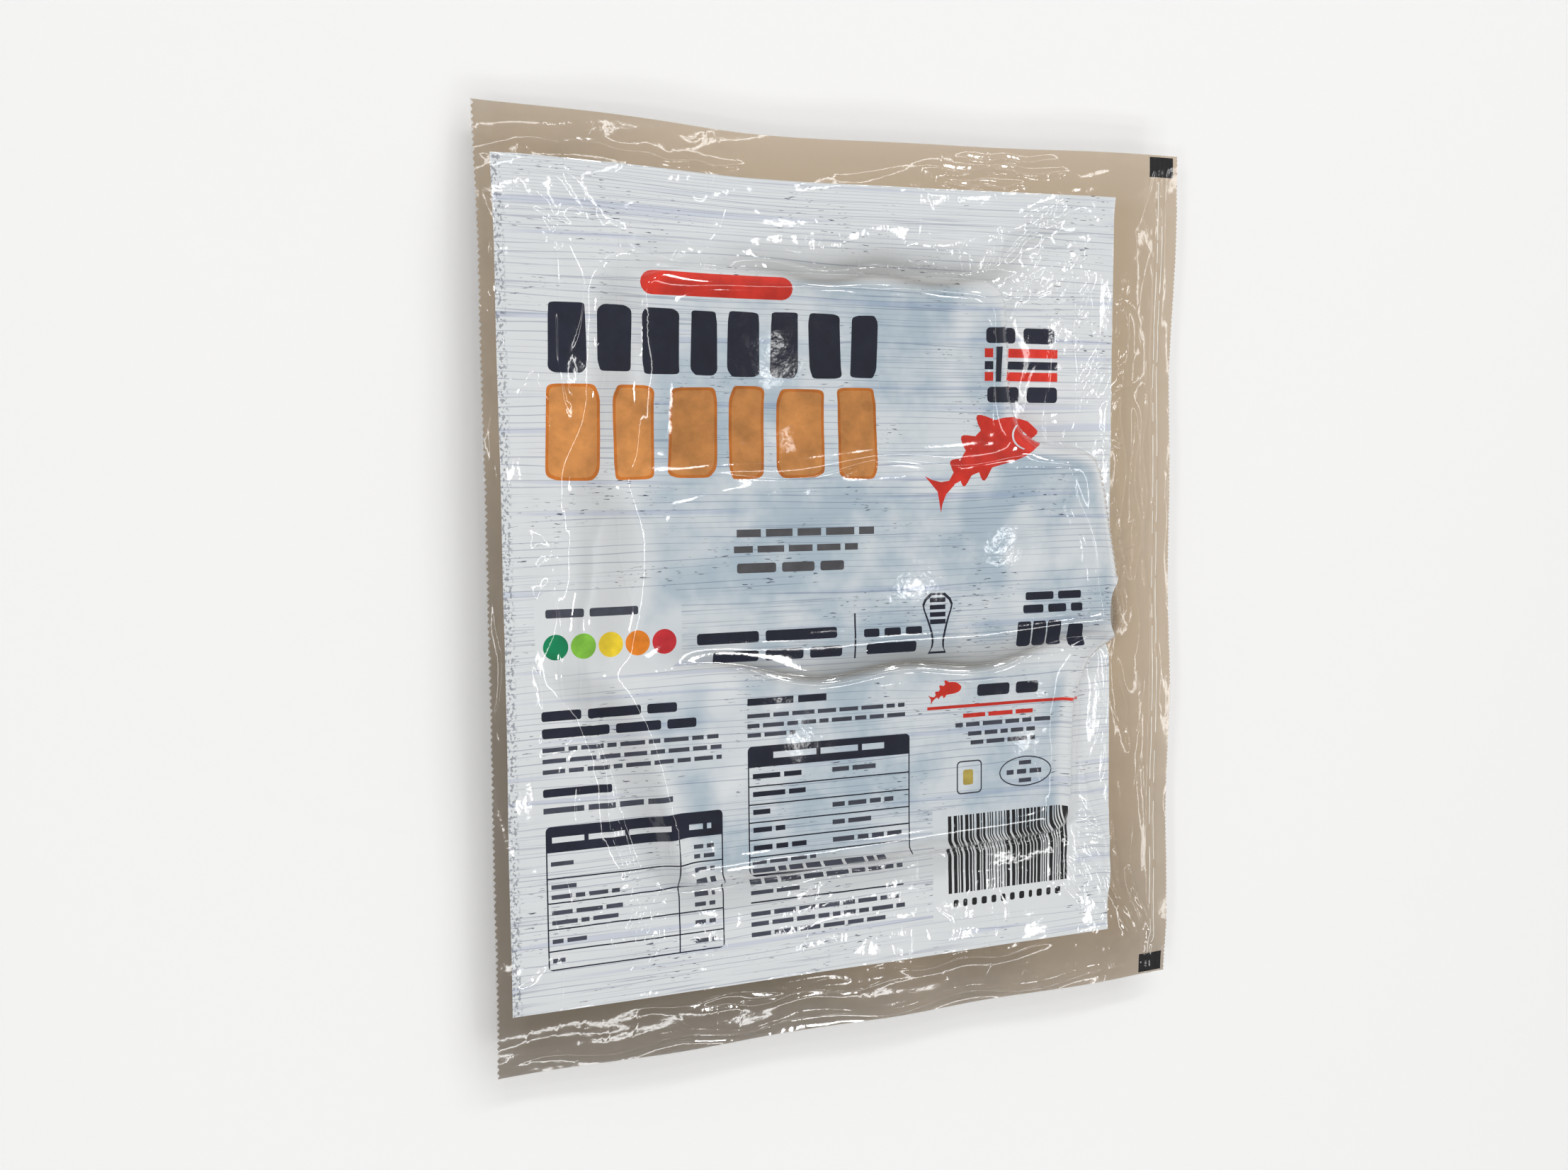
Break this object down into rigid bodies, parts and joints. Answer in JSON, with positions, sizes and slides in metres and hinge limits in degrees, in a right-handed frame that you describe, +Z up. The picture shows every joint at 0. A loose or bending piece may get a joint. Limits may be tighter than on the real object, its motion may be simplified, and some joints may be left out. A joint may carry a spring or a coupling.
{
  "type": "vacuum pack of frozen cod loins",
  "caption": "Flat clear-margined film pouch with a printed face, vacuum-drawn over frozen desalted cod loins that stand out in relief.",
  "frame": {"origin": "on the table, under the middle of the pouch's outline", "axes": "+X across the pouch, +Y towards its top edge, +Z up, out of the printed face"},
  "size_m": [0.25, 0.3, 0.0338],
  "materials": {
    "film": "glossy printed film, clear round the print",
    "cod": "frozen, glazed white fish"
  },
  "bodies": {
    "root": {"sealed_pack": "film"}
  },
  "joints": []
}
